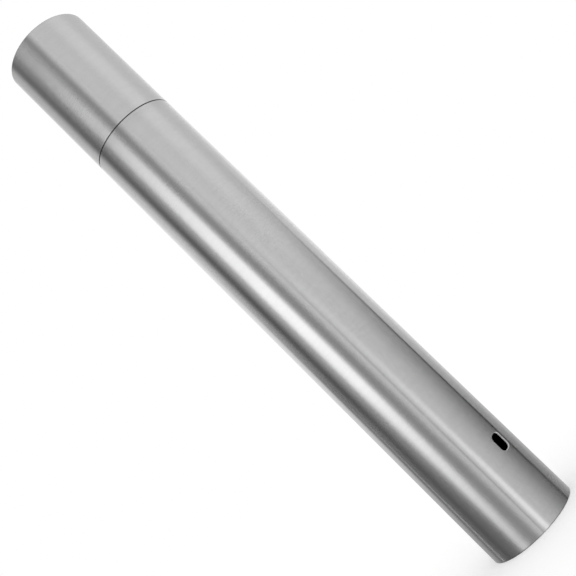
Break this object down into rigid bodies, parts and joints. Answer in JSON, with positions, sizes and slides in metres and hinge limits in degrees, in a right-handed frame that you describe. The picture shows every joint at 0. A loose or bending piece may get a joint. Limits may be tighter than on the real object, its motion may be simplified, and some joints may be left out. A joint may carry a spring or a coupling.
{
  "type": "document tube",
  "caption": "Slim round stainless steel tube for rolled documents, closed by a flat base plate and a pull-off cap that slips over an inner neck, with a short rounded slot near the base.",
  "frame": {"origin": "centre of the base, on the surface that the tube stands on", "axes": "+Z along the tube's axis from the base to the cap, -Y through the middle of the slot, +X to the right when the slot is looked at with the cap up"},
  "size_m": [0.057, 0.057, 0.4],
  "materials": {
    "tube_steel": "satin stainless steel, brushed round the tube",
    "plate_steel": "satin stainless steel sheet, pressed, with fine turned marks",
    "neck_steel": "smoother stainless steel, with fine lines along the tube where the cap slides"
  },
  "bodies": {
    "tube": {"body_tube": "tube_steel", "base_plate": "plate_steel", "neck_sleeve": "neck_steel"},
    "cap": {"cap_tube": "tube_steel", "cap_plate": "plate_steel"}
  },
  "joints": [
    {"name": "cap_slide", "type": "slide", "parent": "tube", "child": "cap", "axis": [0, 0, 1], "range_m": [0, 0.1]}
  ]
}
